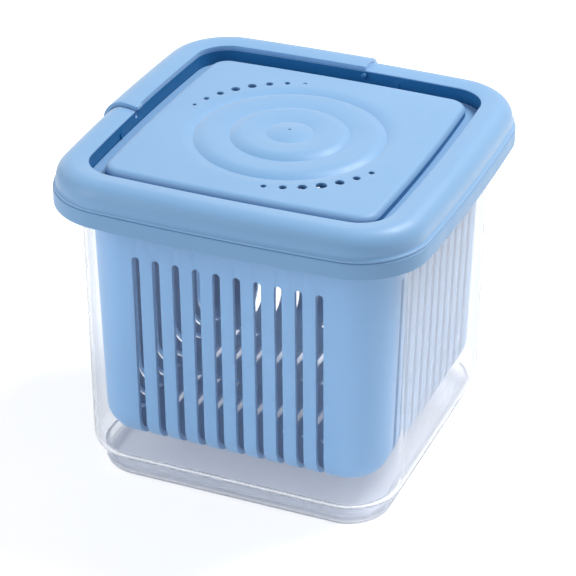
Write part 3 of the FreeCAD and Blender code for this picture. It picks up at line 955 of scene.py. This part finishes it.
def makeHandle(size, hinge, ring):
    section = handleSection(size, ring)
    rows = carried(section, handlePlaces(size, hinge))
    points, faces = grid(rows, loopRows=True, loopColumns=False)
    width = rows.shape[1]
    starts = np.arange(len(section)) * width
    faces += [starts.tolist(), (starts + width - 1)[::-1].tolist()]
    piece = newPiece("cornerHandle", [(points, faces)])
    cutBy(piece, "handleEnds", handleEndParts(size, hinge), "UNION")
    softenEdges(piece, size["edge"], segments=3, angle=42.0)
    # painted shade on the handle's ears and arms where they reach down inside the ring
    paintGrooveShade(piece, lambda at, facing: inGroove(at))
    return piece


handle = makeHandle(handleSize, hingeSize, ringSize)
handle.data.materials.append(handleBlue)
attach(handle, "handle")
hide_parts("corner_handle")
print("handle made:", len(handle.data.polygons), "faces")

# Floor and surroundings
stageLook = {
    "floorSize": 6.0,
    "floorColour": (0.86, 0.86, 0.87),
    "floorGlow": 0.56,
    "ambient": 0.4,
    "ambientColour": (0.97, 0.98, 1.0),
    "lampAim": (0.0, 0.0, 0.1),
}
lampLook = {
    "key": {"at": (0.55, 0.62, 1.35), "size": 0.6, "power": 18.0, "colour": (1.0, 0.99, 0.97)},
    "fill": {"at": (-1.1, -1.2, 0.8), "size": 1.0, "power": 8.0, "colour": (0.96, 0.98, 1.0)},
}


def seenDirectly(tree):
    # 1 for what the camera sees straight, in a reflection or through the clear plastic
    paths = addNode(tree, "ShaderNodeLightPath")
    both = addNode(tree, "ShaderNodeMath", {0: paths.outputs["Is Camera Ray"],
                                            1: paths.outputs["Is Glossy Ray"]}, operation="MAXIMUM")
    return addNode(tree, "ShaderNodeMath", {0: both.outputs[0], 1: paths.outputs["Is Transmission Ray"]},
                   operation="MAXIMUM").outputs[0]


def makeFloor(look):
    half = look["floorSize"] / 2.0
    mesh = bpy.data.meshes.new("floor")
    mesh.from_pydata([(-half, -half, 0.0), (half, -half, 0.0), (half, half, 0.0), (-half, half, 0.0)], [],
                     [(0, 1, 2, 3)])
    floor = bpy.data.objects.new("floor", mesh)
    bpy.context.scene.collection.objects.link(floor)
    material = bpy.data.materials.new("paleFloor")
    material.use_nodes = True
    tree = material.node_tree
    tree.nodes.remove(tree.nodes["Principled BSDF"])
    matt = addNode(tree, "ShaderNodeBsdfDiffuse", {"Color": (*look["floorColour"], 1.0)})
    glow = addNode(tree, "ShaderNodeEmission", {"Color": (1.0, 1.0, 1.0, 1.0)})
    strength = addNode(tree, "ShaderNodeMath", {0: seenDirectly(tree), 1: look["floorGlow"]},
                       operation="MULTIPLY")
    tree.links.new(strength.outputs[0], glow.inputs["Strength"])
    both = addNode(tree, "ShaderNodeAddShader", {0: matt.outputs[0], 1: glow.outputs[0]})
    tree.links.new(both.outputs[0], tree.nodes["Material Output"].inputs["Surface"])
    mesh.materials.append(material)


def makeSurroundings(look):
    world = bpy.data.worlds.new("paleRoom")
    world.use_nodes = True
    tree = world.node_tree
    back = tree.nodes["Background"]
    colour = addNode(tree, "ShaderNodeMix", {0: seenDirectly(tree), 6: (*look["ambientColour"], 1.0),
                                             7: (1.0, 1.0, 1.0, 1.0)}, data_type="RGBA")
    level = addNode(tree, "ShaderNodeMapRange", {"Value": seenDirectly(tree), "To Min": look["ambient"],
                                                 "To Max": 1.0})
    tree.links.new(colour.outputs[2], back.inputs["Color"])
    tree.links.new(level.outputs[0], back.inputs["Strength"])
    bpy.context.scene.world = world


def makeLamps(lamps, aim):
    for name, look in lamps.items():
        lamp = bpy.data.lights.new(name, "AREA")
        lamp.shape = "DISK"
        lamp.size = look["size"]
        lamp.energy = look["power"]
        lamp.color = look["colour"]
        holder = bpy.data.objects.new(name, lamp)
        holder.location = look["at"]
        holder.rotation_euler = (aim - Vector(look["at"])).to_track_quat("-Z", "Y").to_euler()
        bpy.context.scene.collection.objects.link(holder)


makeFloor(stageLook)
makeSurroundings(stageLook)
makeLamps(lampLook, Vector(stageLook["lampAim"]))
print("stage made")

# Camera at the photograph's angle
cameraPlace = {
    "azimuth": 22.62,
    "elevation": 29.83,
    "distance": 1.2508,
    "aimHeight": 0.0852,
    "aimRight": -0.00087,
    "focalPixels": 2369.8,
    "framePixels": 576,
    "sensor": 36.0,
    "farthest": 20.0,
}


def makeCamera(place):
    a, e = math.radians(place["azimuth"]), math.radians(place["elevation"])
    back = Vector((math.sin(a) * math.cos(e), -math.cos(a) * math.cos(e), math.sin(e)))
    data = bpy.data.cameras.new("camera")
    data.sensor_width = place["sensor"]
    data.lens = place["focalPixels"] / place["framePixels"] * place["sensor"]
    data.clip_end = place["farthest"]
    camera = bpy.data.objects.new("camera", data)
    aim = Vector((math.cos(a) * place["aimRight"], math.sin(a) * place["aimRight"], place["aimHeight"]))
    camera.location = aim + back * place["distance"]
    camera.rotation_euler = (-back).to_track_quat("-Z", "Y").to_euler()
    bpy.context.scene.collection.objects.link(camera)
    bpy.context.scene.camera = camera


makeCamera(cameraPlace)
bpy.context.scene.view_settings.view_transform = "Standard"
